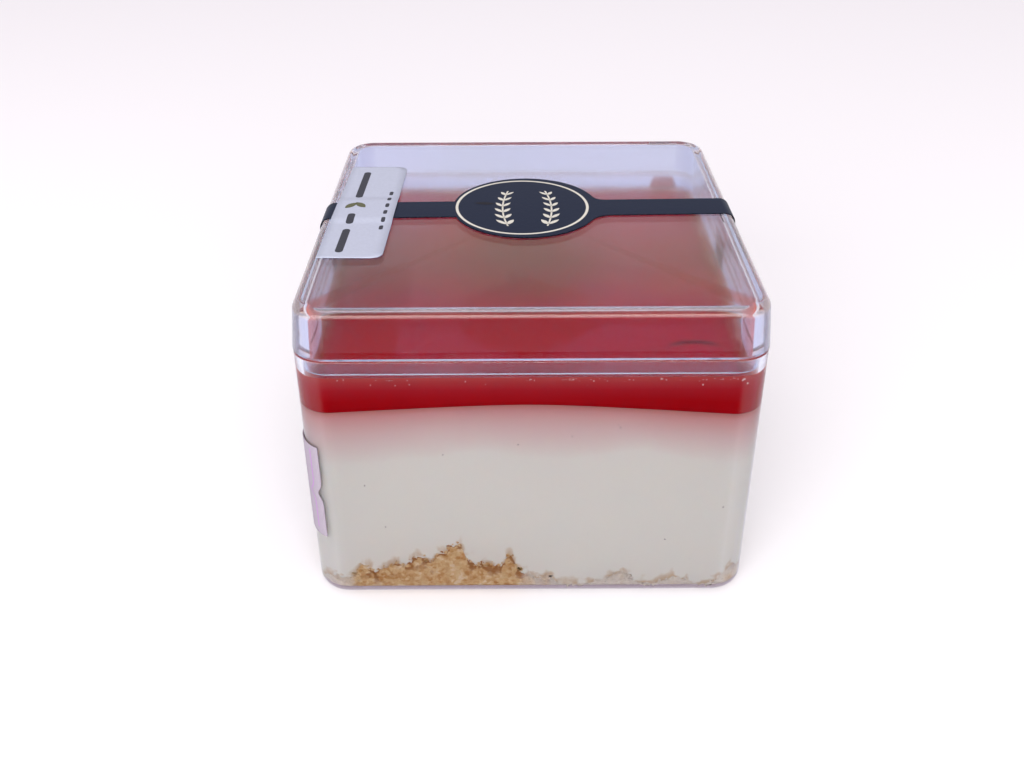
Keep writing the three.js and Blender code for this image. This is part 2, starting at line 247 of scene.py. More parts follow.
# Splash of jelly on the lid's plug at the back: its reach from x to x and from z to z, wider at
# the foot and narrower in the top quarter
SPLASH_X = (30.8, 35.8)
SPLASH_Z = (PLUG_Z + 0.1, 53.8)
SPLASH_FOOT_WIDENED = 1.05
SPLASH_TOP_NARROWED = 0.5
SPLASH_RAGGED = 0.35
SPLASH_THIN_EDGE = 0.6
SPLASH_THICKNESS = 0.25
SPLASH_GAP = 0.01
SPLASH_STEPS = 16

# Arched ripple in the jelly near the front right corner: middle, radius, width and reach in x
RIPPLE_AT = (30.2, -39.95)
RIPPLE_RADIUS = 10.8
RIPPLE_WIDTH = 1.1
RIPPLE_REACH = 6

# Loose crumbs along each wall, from a little below the crumb's top to a little above it, and the
# depths in the crumb whose tones they take
GRAIN_SEED = 5
GRAINS_PER_WALL = 330
GRAIN_RADIUS = (0.16, 0.5)
GRAIN_BELOW = 0.5
GRAIN_ABOVE = 0.2
GRAIN_ABOVE_HEAPS = 0.5
GRAIN_DEPTHS = (0, 5)

# Shape of the crumbs, bubbles and specks, and how far they may reach into the wall: a little
# further than what they lie on
LUMP_SUBDIVISIONS = 2
LUMP_STRETCH = (0.75, 1.25)
LUMP_BUMPS = 1.3
LUMP_NOISE_REACH = 50
GRAIN_ROUGH = 0.9
BUBBLE_ROUGH = 0.3
SPECK_ROUGH = 0.5
GRAIN_SINK = CRUMB_SINK + 0.02
BUBBLE_SINK = JELLY_SINK + 0.03
SPECK_SINK = CREAM_SINK + 0.02

# Studio, in metres: a floor, a softbox in front, and a dark patch of sky low behind the viewer
STUDIO_FLOOR_SIZE = 6
SOFTBOX_AT = Vector((-0.12, -0.85, 0.45))
SOFTBOX_TARGET = Vector((0, 0, 0.03))
SOFTBOX_SIZE = (1.3, 0.5)
SOFTBOX_POWER = 11
DARK_PATCH_DROP = 30

# Bounces of light: enough to pass the walls, the lid and the plug, and few between matt faces
CLEAR_BOUNCES = 64
DIFFUSE_BOUNCES = 6

# Camera of the photograph
CAMERA_AT = Vector((-3.334, -192.956, 149.990))
CAMERA_PITCH = 29.69
CAMERA_YAW = -0.02
CAMERA_ROLL = -0.311
FOCAL_PIXELS = 1029.2
IMAGE_WIDTH = 1024
AXIS_PIXELS_ABOVE_MIDDLE = 70
SENSOR = 36


def rgb(red, green, blue):
    """Linear colour of three screen values from 0 to 255."""
    return tuple(
        value / 255 / 12.92 if value <= 10 else ((value / 255 + 0.055) / 1.055) ** 2.4
        for value in (red, green, blue)
    ) + (1,)


# Tones of the clear plastic: plain; deeper in the lid's thick corners, as painted shade; reddened
# where jelly is smeared inside; and warm along the rims and the lid's top edge, a painted tint of
# their highlights
PLASTIC_TONE = Vector(rgb(233, 238, 252))
CORNER_PAINTED_SHADE_TONE = Vector(rgb(196, 202, 232))
SMEAR_TONE = Vector(rgb(226, 108, 96))
WARM_HIGHLIGHT_TINT = Vector(rgb(251, 228, 210))

# Tones of toasted crumb, of cream smeared over it, of crumb stained into the cream, and of the
# painted shade along the jelly's ripple
TOASTED_TONE = rgb(154, 98, 56)
VEIL_TONE = rgb(226, 215, 199)
STAIN_TONE = rgb(200, 168, 132)
RIPPLE_SHADE_TONE = rgb(120, 0, 26)

# Tones by their place on a scale: of the crumb's grains, of the cream from the jelly down, of the
# jelly's haze and painted light from the depth up, and of painted light on the jelly's top towards an
# edge
CRUMB_TONES = [
    (0.4, rgb(188, 134, 80)),
    (0.6, rgb(208, 166, 114)),
    (0.8, rgb(220, 186, 138)),
    (1.0, rgb(232, 208, 172)),
]
CREAM_TONES = [
    (0.0, rgb(207, 133, 122)),
    (0.12, rgb(212, 158, 150)),
    (0.45, rgb(219, 190, 181)),
    (1.0, rgb(228, 222, 208)),
]
HAZE_AND_LIGHT_TONES = [
    (0.48, rgb(180, 34, 44)),
    (0.77, rgb(186, 62, 64)),
    (1.0, rgb(192, 84, 80)),
]
EDGE_LIGHT_TONES = [
    (0.3, rgb(210, 56, 32)),
    (0.7, rgb(222, 108, 84)),
    (0.95, rgb(250, 184, 168)),
    (1.0, rgb(255, 222, 212)),
]

# Light of the sky from straight down (0) over the horizon (0.5) to straight up (1)
SKY_TONES = [
    (0.0, (0.9, 0.9, 0.97, 1)),
    (0.5, (0.9, 0.9, 0.97, 1)),
    (0.68, (0.6, 0.6, 0.72, 1)),
    (0.722, (0.85, 0.68, 0.5, 1)),
    (0.741, (0.55, 0.48, 0.44, 1)),
    (0.775, (0.46, 0.36, 0.88, 1)),
    (0.81, (0.78, 0.66, 0.62, 1)),
    (0.88, (0.97, 0.94, 0.9, 1)),
    (1.0, (1.0, 0.99, 0.98, 1)),
]

# Where the lid's tones lie: its inner face within this distance of a corner's middle, and its top
# edge this far below the top. A point this near to a height counts as at it
LID_INNER_REACH = 4.5
TOP_EDGE = (0.15, 1.5)
NEAR = 0.01


# Meshes


def corner_radius(half):
    square_half = CUP_HALF - CORNER_RADIUS + CORNER_LEAST
    if half < square_half:
        return CORNER_LEAST * half / square_half
    return CORNER_RADIUS + half - CUP_HALF


def square_outline(half, straight_steps):
    """Points of a rounded square, anticlockwise from the left end of the front side."""
    radius = corner_radius(half)
    flat = half - radius
    side = [Vector((flat * (2 * i / straight_steps - 1), -half)) for i in range(straight_steps)]
    for i in range(CORNER_STEPS):
        angle = math.pi / 2 * i / CORNER_STEPS
        side.append(Vector((flat + radius * math.sin(angle), -flat - radius * math.cos(angle))))
    outline = []
    for quarter in range(4):
        turn = Matrix.Rotation(quarter * math.pi / 2, 2)
        outline += [turn @ point for point in side]
    return outline


def square_sweep(profile, straight_steps, height_at=None):
    """Points and faces of a profile of (half width, height) swept round a rounded square.

    The profile runs from the middle underneath to the middle on top.
    """
    points = []
    rows = []
    for half, z in profile:
        outline = square_outline(half, straight_steps) if half else [Vector((0, 0))]
        rows.append(range(len(points), len(points) + len(outline)))
        for at in outline:
            height = height_at(at.x, at.y, z) if height_at else z
            points.append((at.x, at.y, height))
    faces = []
    for lower, upper in zip(rows, rows[1:]):
        count = max(len(lower), len(upper))
        for i in range(count):
            j = (i + 1) % count
            if len(lower) == 1:
                faces.append((lower[0], upper[j], upper[i]))
            elif len(upper) == 1:
                faces.append((lower[i], lower[j], upper[0]))
            else:
                faces.append((lower[i], lower[j], upper[j], upper[i]))
    return points, faces


def arc(centre_half, centre_z, radius, start, end, steps=ARC_STEPS):
    """Profile points of an arc from one angle to another, both in degrees."""
    angles = [math.radians(start + (end - start) * i / steps) for i in range(steps + 1)]
    return [
        (centre_half + radius * math.cos(angle), centre_z + radius * math.sin(angle))
        for angle in angles
    ]


def arc_points(centre, radius, start, end, steps):
    """Points in the plan of an arc from one angle to another, both in radians."""
    angles = [start + (end - start) * i / steps for i in range(steps + 1)]
    return [centre + radius * Vector((math.cos(angle), math.sin(angle))) for angle in angles]


def joined(shapes):
    """Points and faces of several shapes as one."""
    points = []
    faces = []
    for shape_points, shape_faces in shapes:
        start = len(points)
        points += shape_points
        faces += [tuple(start + i for i in face) for face in shape_faces]
    return points, faces


def patch(rows, surface, columns):
    """Points and faces of a sheet: rows of (along, left, right), placed by surface(across, along)."""
    points = []
    for along, left, right in rows:
        for i in range(columns + 1):
            points.append(surface(left + (right - left) * i / columns, along))
    faces = []
    for row in range(len(rows) - 1):
        for i in range(columns):
            start = row * (columns + 1) + i
            faces.append((start, start + 1, start + columns + 2, start + columns + 1))
    return points, faces


def bar_rows(length, width, steps=24, end_steps=6):
    """Rows of a bar with round ends, from its middle."""
    radius = width / 2
    ends = [radius * math.cos(math.pi / 2 * i / end_steps) for i in range(end_steps + 1)]
    straight = length / 2 - radius
    low = [(-straight - out, -math.sqrt(radius**2 - out**2)) for out in ends]
    middle = [(straight * (2 * i / steps - 1), -radius) for i in range(1, steps)]
    high = [(-along, left) for along, left in reversed(low)]
    return [(along, left, -left) for along, left in low + middle + high]


def leaf_rows(length, width, steps=14):
    """Rows of a leaf with two pointed ends, from its middle."""
    rows = []
    for i in range(steps + 1):
        share = 2 * i / steps - 1
        half = width / 2 * (1 - share**2)
        rows.append((length / 2 * share, -half, half))
    return rows


def placed(surface, at, turn=0.0):
    """The surface with a shape's own middle moved and turned on it."""
    spin = Matrix.Rotation(math.radians(turn), 2)

    def place(across, along):
        moved = spin @ Vector((across, along)) + Vector(at)
        return surface(moved.x, moved.y)

    return place


def ball(subdivisions):
    """Points and faces of a unit ball."""
    shape = bmesh.new()
    bmesh.ops.create_icosphere(shape, subdivisions=subdivisions, radius=1)
    points = [vertex.co.copy() for vertex in shape.verts]
    faces = [tuple(vertex.index for vertex in face.verts) for face in shape.faces]
    shape.free()
    return points, faces


def inside_wall(point, half):
    """The point, moved in where it would pass a rounded square of this half width."""
    x, y, z = point
    radius = corner_radius(half)
    flat = half - radius
    out = Vector((max(0, abs(x) - flat), max(0, abs(y) - flat)))
    if out.length > radius:
        out *= radius / out.length
        x = math.copysign(min(abs(x), flat) + out.x, x) if abs(x) > flat else x
        y = math.copysign(min(abs(y), flat) + out.y, y) if abs(y) > flat else y
    return Vector((x, y, z))


def lumps(places, sink, rough, draw):
    """Uneven small lumps at (centre, radius), kept inside the cup's wall but for the sink."""
    ball_points, ball_faces = ball(LUMP_SUBDIVISIONS)
    shapes = []
    for centre, radius in places:
        offset = Vector((draw.random(), draw.random(), draw.random())) * LUMP_NOISE_REACH
        stretch = Vector([draw.uniform(*LUMP_STRETCH) for _ in range(3)])
        points = []
        for at in ball_points:
            bumpy = radius * (1 + rough * noise.noise(at * LUMP_BUMPS + offset))
            spot = Vector(centre) + Vector(a * b for a, b in zip(at, stretch)) * bumpy
            points.append(inside_wall(spot, CUP_INNER + sink))
        shapes.append((points, ball_faces))
    return joined(shapes)


def make_object(name, points, faces, material):
    """A piece of the part, from points in millimetres."""
    mesh = bpy.data.meshes.new(name)
    mesh.from_pydata([Vector(point) * MM for point in points], [], faces)
    mesh.validate()
    mesh.shade_smooth()
    mesh.materials.append(material)
    piece = bpy.data.objects.new(name, mesh)
    bpy.context.scene.collection.objects.link(piece)
    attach(piece, BODY)
    return piece


def weigh_normals(piece):
    """Keeps the flats flat beside their rounded edges."""
    weighted = piece.modifiers.new("flat faces lead", "WEIGHTED_NORMAL")
    weighted.weight = 100


def add_values(piece, name, points, value_at):
    """A number for each point, which the material reads by its name."""
    attribute = piece.data.attributes.new(name, "FLOAT", "POINT")
    attribute.data.foreach_set("value", [value_at(*point) for point in points])


def give_thickness(piece):
    """The thickness of the paper, below the surface."""
    solid = piece.modifiers.new("thickness", "SOLIDIFY")
    solid.thickness = PAPER * MM
    solid.offset = -1


# Materials


def add_node(tree, kind, inputs=None, **settings):
    """A shader node with its settings, and its inputs by name or number as values or links."""
    made = tree.nodes.new("ShaderNode" + kind)
    for name, value in settings.items():
        setattr(made, name, value)
    for name, value in (inputs or {}).items():
        socket = made.inputs[name]
        if isinstance(value, bpy.types.NodeSocket):
            tree.links.new(value, socket)
        else:
            socket.default_value = value
    return made


def new_material(name, **sockets):
    """A material with its node tree and its Principled shader, with that shader's inputs set."""
    material = bpy.data.materials.new(name)
    material.use_nodes = True
    tree = material.node_tree
    shader = tree.nodes["Principled BSDF"]
    for socket, value in sockets.items():
        title = socket.replace("_", " ").title().replace("Ior", "IOR")
        shader.inputs[title].default_value = value
    return material, tree, shader


def object_place(tree):
    """Place on the object in metres."""
    return add_node(tree, "TexCoord").outputs["Object"]


def read_value(tree, name):
    """A number that the piece's points carry under this name."""
    return add_node(tree, "Attribute", attribute_name=name).outputs["Fac"]


def noise_value(tree, size, detail=3, roughness=0.5):
    """Noise from 0 to 1 over the object, with patches of a size in millimetres."""
    inputs = {"Scale": 1 / (size * MM), "Detail": detail, "Roughness": roughness}
    inputs["Vector"] = object_place(tree)
    return add_node(tree, "TexNoise", inputs).outputs["Fac"]


def ramp(tree, value, stops):
    """Colour at a value, from (place, colour) stops."""
    made = add_node(tree, "ValToRGB", {"Fac": value})
    elements = made.color_ramp.elements
    while len(elements) < len(stops):
        elements.new(0.5)
    for element, (place, colour) in zip(elements, stops):
        element.position = place
        element.color = colour
    return made.outputs["Color"]


def mix_colour(tree, share, first, second, blend="MIX"):
    """The first colour with a share of the second, by numbered inputs, as names repeat there."""
    inputs = {0: share, 6: first, 7: second}
    made = add_node(tree, "Mix", inputs, data_type="RGBA", blend_type=blend)
    return made.outputs[2]


def spread(tree, value, low, high, to_low=0.0, to_high=1.0):
    """Value mapped from one range to another, held at the ends, with a soft start and stop."""
    ends = {"From Min": low, "From Max": high, "To Min": to_low, "To Max": to_high}
    made = add_node(tree, "MapRange", {"Value": value, **ends}, interpolation_type="SMOOTHSTEP")
    return made.outputs["Result"]


def maths(tree, operation, *values):
    made = add_node(tree, "Math", dict(enumerate(values)), operation=operation)
    return made.outputs["Value"]


def paint(tree, shader, colour):
    tree.links.new(colour, shader.inputs["Base Color"])


def add_bump(tree, shader, height, distance):
    """Bump of a height from 0 to 1 over a distance in millimetres."""
    made = add_node(tree, "Bump", {"Height": height, "Distance": distance * MM})
    tree.links.new(made.outputs["Normal"], shader.inputs["Normal"])


def clear_plastic():
    material, tree, shader = new_material(
        "clear plastic",
        transmission_weight=1.0,
        roughness=0.08,
        ior=1.59,
        specular_tint=(0.6, 0.6, 0.6, 1),
    )
    tone = add_node(tree, "Attribute", attribute_name="tone").outputs["Color"]
    paint(tree, shader, tone)
    waves = noise_value(tree, 14, detail=1)
    add_bump(tree, shader, waves, 0.05)
    return material


def frosted_plastic_painted_glow():
    """The cup's underside, left matt by the mould, pale with a painted glow for the light the wall
    leads down.
    """
    material, tree, shader = new_material(
        "frosted plastic with painted glow",
        base_color=rgb(232, 224, 228),
        transmission_weight=0.35,
        roughness=0.6,
        ior=1.59,
        specular_ior_level=0.2,
        # Painted glow: the underside shines though it is no lamp
        emission_color=rgb(205, 186, 190),
        emission_strength=0.22,
    )
    grain = noise_value(tree, 0.6, detail=2)
    add_bump(tree, shader, grain, 0.03)
    return material


def crumb_material():
    material, tree, shader = new_material("biscuit crumb", roughness=0.85, specular_ior_level=0.1)
    inputs = {"Vector": object_place(tree), "Scale": 1 / (0.7 * MM), "Randomness": 1}
    grains = add_node(tree, "TexVoronoi", inputs)
    tone = add_node(tree, "SeparateColor", {"Color": grains.outputs["Color"]})
    patches = noise_value(tree, 2.6, detail=4, roughness=0.6)
    blend = maths(tree, "MULTIPLY_ADD", tone.outputs["Red"], 0.35, patches)
    colour = ramp(tree, blend, CRUMB_TONES)
    depth = read_value(tree, "depth")
    toasted = noise_value(tree, 2.2, detail=3)
    toasted_depth = spread(tree, toasted, 0.4, 0.62, 0.05, 4.2)
    share = spread(tree, maths(tree, "DIVIDE", depth, toasted_depth), 0.2, 1.0, 0.85, 0.0)
    toasted_colour = mix_colour(tree, share, colour, TOASTED_TONE)
    veil = read_value(tree, "veil")
    smear = noise_value(tree, 3, detail=3)
    veiled = spread(tree, maths(tree, "MULTIPLY_ADD", smear, 0.8, veil), 0.5, 1.15, 0.0, 0.9)
    final = mix_colour(tree, veiled, toasted_colour, VEIL_TONE)
    paint(tree, shader, final)
    add_bump(tree, shader, grains.outputs["Distance"], 0.3)
    return material


def cream_material():
    material, tree, shader = new_material(
        "cream",
        roughness=0.5,
        specular_ior_level=0.0,
        subsurface_weight=0.3,
        subsurface_scale=1.5 * MM,
    )
    shader.inputs["Subsurface Radius"].default_value = (1.0, 0.7, 0.5)
    below_jelly = read_value(tree, "below_jelly")
    above_crumb = read_value(tree, "above_crumb")
    uneven = noise_value(tree, 22, detail=2)
    reach = spread(tree, uneven, 0.3, 0.7, 9, 12)
    fade = maths(tree, "DIVIDE", below_jelly, reach)
    pink = ramp(tree, fade, CREAM_TONES)
    smear = noise_value(tree, 2.4, detail=4)
    stain_height = spread(tree, smear, 0.35, 0.7, 0.8, 3.6)
    strongest = spread(tree, smear, 0.38, 0.55, 0.1, 0.85)
    nearness = spread(tree, maths(tree, "DIVIDE", above_crumb, stain_height), 0.0, 1.0, 1.0, 0.0)
    stain = maths(tree, "MULTIPLY", nearness, strongest)
    colour = mix_colour(tree, stain, pink, STAIN_TONE)
    paint(tree, shader, colour)
    return material


def jelly_material(name, specular, deep):
    material, tree, shader = new_material(
        name,
        roughness=0.12,
        specular_ior_level=specular,
        subsurface_weight=0.35,
        subsurface_scale=4 * MM,
        ior=1.38,
    )
    shader.inputs["Subsurface Radius"].default_value = (1.0, 0.12, 0.1)
    # Paler towards the top at the wall: haze together with painted light from above
    haze_and_light = read_value(tree, "haze_and_light")
    colour = ramp(tree, haze_and_light, [(0.0, deep), *HAZE_AND_LIGHT_TONES])
    # Paler on top towards the sides and back: painted light
    edge = read_value(tree, "edge")
    uneven = noise_value(tree, 5, detail=2)
    ragged = maths(tree, "MULTIPLY_ADD", uneven, 0.4, edge)
    painted_edge_light = ramp(tree, ragged, EDGE_LIGHT_TONES)
    edge_share = spread(tree, ragged, 0.25, 0.85, 0.0, 0.95)
    edged = mix_colour(tree, edge_share, colour, painted_edge_light)
    ends = {0: object_place(tree), 1: Vector((*RIPPLE_AT, JELLY_TOP)) * MM}
    away = add_node(tree, "VectorMath", ends, operation="SUBTRACT").outputs["Vector"]
    radius = add_node(tree, "VectorMath", {0: away}, operation="LENGTH").outputs["Value"]
    off_ring = maths(tree, "ABSOLUTE", maths(tree, "SUBTRACT", radius, RIPPLE_RADIUS * MM))
    ring = spread(tree, off_ring, 0.0, RIPPLE_WIDTH * MM, 1.0, 0.0)
    parts = add_node(tree, "SeparateXYZ", {"Vector": away}).outputs
    sideways = maths(tree, "ABSOLUTE", parts["X"])
    in_reach = spread(tree, sideways, 2 * MM, RIPPLE_REACH * MM, 1.0, 0.0)
    forward = maths(tree, "GREATER_THAN", parts["Y"], 0.0)
    ripple = maths(tree, "MULTIPLY", maths(tree, "MULTIPLY", ring, in_reach), forward)
    waves = noise_value(tree, 7, detail=1)
    relief = maths(tree, "MULTIPLY_ADD", ripple, 0.25, maths(tree, "MULTIPLY", waves, 0.3))
    add_bump(tree, shader, relief, 0.35)
    # Painted shade: a dark crimson line along the ripple, over the bump that gives its relief
    ripple_shaded = mix_colour(tree, maths(tree, "MULTIPLY", ripple, 0.85), edged, RIPPLE_SHADE_TONE)
    paint(tree, shader, ripple_shaded)
    return material


def dimmed(colour, share):
    return tuple(share * value for value in colour[:3]) + (1,)


def paper_material(name, colour, roughness):
    material, tree, shader = new_material(name, roughness=roughness, specular_ior_level=0.1)
    fibre = noise_value(tree, 0.6, detail=3)
    tint = ramp(tree, fibre, [(0.3, dimmed(colour, 0.94)), (0.7, colour)])
    paint(tree, shader, tint)
    add_bump(tree, shader, fibre, 0.02)
    return material


def small_material(name, colour, roughness):
    """For things under a millimetre or two: a tone that varies a little."""
    material, tree, shader = new_material(name, roughness=roughness, specular_ior_level=0.2)
    patches = noise_value(tree, 0.8, detail=2)
    tint = ramp(tree, patches, [(0.3, dimmed(colour, 0.8)), (0.7, colour)])
    paint(tree, shader, tint)
    return material


CLEAR = clear_plastic()
FROSTED_PAINTED_GLOW = frosted_plastic_painted_glow()
CRUMB = crumb_material()
CREAM = cream_material()
# One jelly in two copies: the copy against the plastic is painted a darker red than the top, as
# painted shade; its weaker reflection against the plastic is real
JELLY = jelly_material("strawberry jelly", 0.35, rgb(214, 7, 27))
SHADED_JELLY_AT_WALL = jelly_material("strawberry jelly against plastic, painted darker", 0.02, rgb(172, 8, 18))
NAVY = paper_material("navy paper", rgb(14, 29, 51), 0.4)
IVORY = paper_material("ivory print", rgb(214, 212, 200), 0.5)
WHITE = paper_material("white paper", rgb(184, 190, 207), 0.5)
# The wall label is the same white paper, painted darker for the shade on the left wall
SHADED_WHITE = paper_material("white paper of the wall label, painted shade", rgb(160, 150, 162), 0.5)
GREY_INK = paper_material("grey print", rgb(62, 64, 72), 0.5)
OLIVE_INK = paper_material("olive print", rgb(96, 98, 72), 0.5)
PURPLE_INK = paper_material("purple print", rgb(176, 132, 186), 0.5)
BUBBLE = small_material("bubble", rgb(244, 214, 208), 0.2)
CREASE_SHADE = small_material("shaded crease", rgb(4, 8, 20), 0.5)
SPECK = small_material("cream speck", rgb(150, 134, 128), 0.6)
SPLASH = small_material("splashed jelly", rgb(248, 176, 166), 0.25)


# Cup and lid


def corner_share(x, y):
    """Distance from an upright corner's middle, and the share round it: full halfway."""
    flat = CUP_HALF - CORNER_RADIUS
    out = Vector((abs(x) - flat, abs(y) - flat))
    if out.x <= 0 or out.y <= 0:
        return out.length, 0
    return out.length, math.sin(2 * math.atan2(out.y, out.x)) ** 0.4


def lid_tone(x, y, z):
    """Deeper in the thick corners, as painted shade, and reddened inside the front ones, where jelly
    is smeared. Rims and the top edge take a warm tint that paints the colour of their highlight
    lines.
    """
    away, share = corner_share(x, y)
    on_rim = z < PLUG_Z + NEAR or abs(z - LID_RIM_Z) < NEAR
    # Rims and the top edge: a warm tint that paints the colour of their highlight lines
    if on_rim or TOP_EDGE[0] < HEIGHT - z < TOP_EDGE[1]:
        return WARM_HIGHLIGHT_TINT
    if z > HEIGHT - LID_PLATE or not share:
        return PLASTIC_TONE
    # The thick outer corners are deepened: painted shade for the shaded floor seen through them
    if away > LID_INNER_REACH:
        return PLASTIC_TONE.lerp(CORNER_PAINTED_SHADE_TONE, share)
    return PLASTIC_TONE.lerp(SMEAR_TONE, share if y < 0 else 0)


def cup_tone(x, y, z):
    # The rim's top takes the warm tint that paints the colour of its highlight line
    return WARM_HIGHLIGHT_TINT if z > CUP_RIM_Z - NEAR else PLASTIC_TONE


def add_tones(piece, points, tone_at):
    """A tone for each point, which the clear plastic reads."""
    attribute = piece.data.attributes.new("tone", "FLOAT_COLOR", "POINT")
    channels = [channel for point in points for channel in tone_at(*point)]
    attribute.data.foreach_set("color", channels)


def clear_shell(name, profile, tone_at):
    points, faces = square_sweep(profile, 1)
    shell = make_object(name, points, faces, CLEAR)
    add_tones(shell, points, tone_at)
    weigh_normals(shell)
    return shell


def make_cup():
    profile = [
        (0, 0),
        *arc(CUP_HALF - FOOT_RADIUS, FOOT_RADIUS, FOOT_RADIUS, -90, 0),
        (CUP_HALF, CUP_RIM_Z - RIM_BEVEL),
        (CUP_HALF - RIM_BEVEL, CUP_RIM_Z),
        (CUP_INNER + RIM_BEVEL, CUP_RIM_Z),
        (CUP_INNER, CUP_RIM_Z - RIM_BEVEL),
        *arc(CUP_INNER - INNER_FOOT_RADIUS, FLOOR + INNER_FOOT_RADIUS, INNER_FOOT_RADIUS, 0, -90),
        (0, FLOOR),
    ]
    cup = clear_shell("cup_shell", profile, cup_tone)
    # The underside takes the frosted plastic, which carries a painted glow
    cup.data.materials.append(FROSTED_PAINTED_GLOW)
    for face in cup.data.polygons:
        face.material_index = int(face.center.z < NEAR * MM)
    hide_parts("cup")


def make_lid():
    underside = HEIGHT - LID_PLATE
    inner_top = PLUG_INNER - LID_INNER_DRAFT
    profile = [
        (0, underside),
        *arc(inner_top - LID_INNER_RADIUS, underside - LID_INNER_RADIUS, LID_INNER_RADIUS, 90, 0),
        (PLUG_INNER, PLUG_Z + RIM_BEVEL),
        (PLUG_INNER + RIM_BEVEL, PLUG_Z),
        (PLUG_HALF - RIM_BEVEL, PLUG_Z),
        (PLUG_HALF, PLUG_Z + RIM_BEVEL),
        (PLUG_HALF, LID_RIM_Z),
        (LID_RIM_HALF - RIM_BEVEL, LID_RIM_Z),
        (LID_RIM_HALF, LID_RIM_Z + RIM_BEVEL),
        *arc(LID_TOP_HALF - LID_EDGE_RADIUS, HEIGHT - LID_EDGE_RADIUS, LID_EDGE_RADIUS, 0, 90),
        (0, HEIGHT),
    ]
    lid = clear_shell("lid_shell", profile, lid_tone)
    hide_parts("lid")


# Contents


def seeded_random(seed):
    """Repeatable numbers from 0 to 1, the same as the CAD's."""
    state = seed
    while True:
        state = state * 16807 % 2147483647
        yield state / 2147483647


def crumb_heaps():
    draws = seeded_random(CRUMB_SEED)
    heaps = [(Vector((x, -CUP_INNER)), height, width) for x, height, width in FRONT_HEAPS]
    for side in range(1, 4):
        turn = Matrix.Rotation(side * math.pi / 2, 2)
        for i in range(OTHER_HEAPS_PER_WALL):
            along = CUP_INNER * (2 * (i + next(draws)) / OTHER_HEAPS_PER_WALL - 1)
            low, high = OTHER_HEAP_HEIGHT
            height = low + (high - low) * next(draws)
            low, high = OTHER_HEAP_SPREAD
            width = low + (high - low) * next(draws)
            heaps.append((turn @ Vector((along, -CUP_INNER)), height, width))
    heaps.append((Vector((0, 0)), CRUMB_MIDDLE_RISE, CRUMB_MIDDLE_SPREAD))
    return heaps


HEAPS = crumb_heaps()


def heaped(x, y):
    """How high the heaps rise over the thin crumb, before it is roughened."""
    at = Vector((x, y))
    return sum(
        height * math.exp(-(at - place).length_squared / width**2)
        for place, height, width in HEAPS
    )


def crumb_top(x, y):
    """Height of the crumb, rougher where it is deeper."""
    rise = heaped(x, y)
    rough = noise.fractal(Vector((x, y, 0)) / CRUMB_GRAIN, 0.8, 2.0, 4)
    deep = min(1, rise / CRUMB_FULL_DEPTH)
    return max(CRUMB_Z + rise + CRUMB_ROUGH * rough * (0.35 + 0.65 * deep), FLOOR + CRUMB_LEAST)


def crumb_veil(x, y, z):
    """Share of cream smeared over the crumb: most where the crumb is thin."""
    clear_depth = THICK_VEIL_DEPTH if y < 0 and x > THICK_VEIL_X else VEIL_DEPTH
    return max(0, 1 - heaped(x, y) / clear_depth)


def cream_top(x, y):
    """A rounded ridge from front to back, higher in the middle, that falls to both sides."""
    u = x / CUP_HALF
    v = y / CUP_HALF
    side_fall = CREAM_SIDE_FALL * (math.hypot(u, CREAM_RIDGE_ROUND) - CREAM_RIDGE_ROUND)
    return CREAM_RIDGE_Z + CREAM_MIDDLE_RISE * (1 - v * v) - side_fall - CREAM_TILT * u


def jelly_top(x, y):
    away = CUP_INNER - max(abs(x), abs(y))
    return JELLY_TOP + JELLY_MENISCUS * math.exp(-away)


def jelly_haze_and_light(x, y, z):
    """Share of pale haze with painted light from above: full at the wall's top edge, none in the
    depth or away from the wall.
    """
    down = max(0, jelly_top(x, y) - z) / JELLY_HAZE_AND_LIGHT_DEPTH
    return max(0, 1 - down - wall_inset(x, y) / JELLY_HAZE_AND_LIGHT_INWARD)


def jelly_edge(x, y, z):
    """Share of painted light, which pales the jelly's top along the sides and the back."""
    if z < jelly_top(x, y) - NEAR:
        return 0
    sides = 1 - (CUP_INNER - abs(x)) / JELLY_EDGE_WIDTH
    back = 1 - (CUP_INNER - y) / JELLY_EDGE_WIDTH
    return max(0, sides, back)


def wall_inset(x, y):
    """Distance inward from the cup's inner wall, in a corner or beside a straight wall."""
    flat = CUP_INNER - corner_radius(CUP_INNER)
    out = Vector((max(0, abs(x) - flat), max(0, abs(y) - flat)))
    if out.x and out.y:
        return max(0, corner_radius(CUP_INNER) - out.length)
    return max(0, CUP_INNER - max(abs(x), abs(y)))


def make_crumb():
    wall = CUP_INNER + CRUMB_SINK
    foot_radius = INNER_FOOT_RADIUS + CRUMB_SINK
    foot = arc(CUP_INNER - INNER_FOOT_RADIUS, FLOOR + INNER_FOOT_RADIUS, foot_radius, -90, 0, 6)
    top = [(wall - inset, math.inf) for inset in WALL_INSETS]
    profile = [(0, FLOOR - CRUMB_SINK), *foot[:-1], *top, (0, math.inf)]
    points, faces = square_sweep(profile, CRUMB_STEPS, lambda x, y, z: min(z, crumb_top(x, y)))
    points = [(x, y, max(z, FLOOR + CRUMB_FLOOR_GAP)) for x, y, z in points]
    crumb = make_object("crumb_base", points, faces, CRUMB)
    add_values(crumb, "depth", points, lambda x, y, z: crumb_top(x, y) - z)
    add_values(crumb, "veil", points, crumb_veil)
    weigh_normals(crumb)
    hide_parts("biscuit_base")


def wall_point(side, along, inset, z):
    """Place near a wall of the cup: its side, the distance along it from its middle, and inset."""
    at = Matrix.Rotation(side * math.pi / 2, 2) @ Vector((along, -CUP_INNER + inset))
    return Vector((at.x, at.y, z))


def foot_inset(z):
    """How far the rounded foot's inside stands in from the wall at a height."""
    short = max(0, INNER_FOOT_RADIUS - (z - FLOOR))
    return INNER_FOOT_RADIUS - math.sqrt(INNER_FOOT_RADIUS**2 - short**2)


